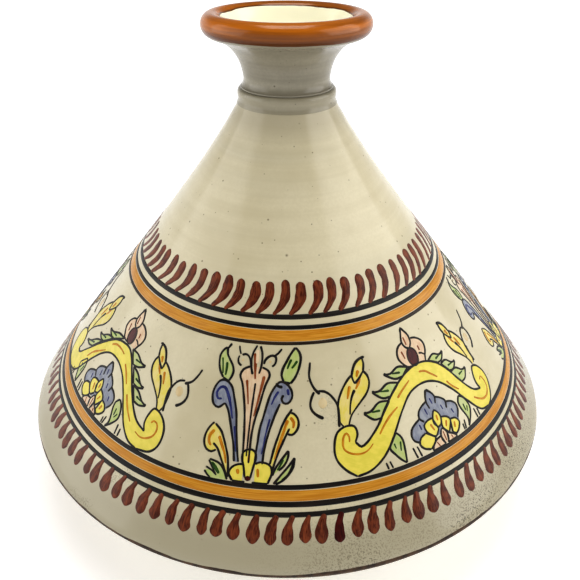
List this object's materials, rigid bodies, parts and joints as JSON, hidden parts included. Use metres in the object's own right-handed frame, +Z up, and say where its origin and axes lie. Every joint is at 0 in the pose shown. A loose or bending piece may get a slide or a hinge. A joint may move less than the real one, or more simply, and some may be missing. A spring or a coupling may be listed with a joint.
{
  "type": "tagine",
  "caption": "Shallow glazed dish under a tall conical lid with a painted frieze and a flared cup knob; the lid lifts straight off.",
  "frame": {"origin": "centre of the dish's foot, on the table", "axes": "+Z up along the axis that every piece is turned about; -Y is the side that faces the viewer"},
  "size_m": [0.27, 0.27, 0.2291],
  "materials": {
    "dish_glaze": "glossy cream glaze, bare red clay on the foot and on the ledge",
    "lid_glaze": "glossy cream glaze with fine dark specks over throwing rings",
    "collar_glaze": "glossy greyish cream glaze",
    "knob_glaze": "glossy orange-brown glaze on the rim, cream inside the cup",
    "bare_clay": "matt unglazed red-brown clay",
    "line_paint": "brushed dark brown underglaze lines",
    "orange_paint": "brushed orange band, streaky",
    "red_paint": "brushed red-brown strokes",
    "yellow_paint": "brushed yellow ochre",
    "green_paint": "brushed dark green",
    "blue_paint": "brushed grey-blue",
    "pink_paint": "brushed salmon pink"
  },
  "bodies": {
    "base": {"dish": "dish_glaze"},
    "lid": {"lid_cone": "lid_glaze", "lid_collar": "collar_glaze", "knob_cup": "knob_glaze"}
  },
  "joints": [
    {"name": "lid_lift", "type": "slide", "parent": "base", "child": "lid", "axis": [0, 0, 1], "range_m": [0, 0.15]}
  ]
}
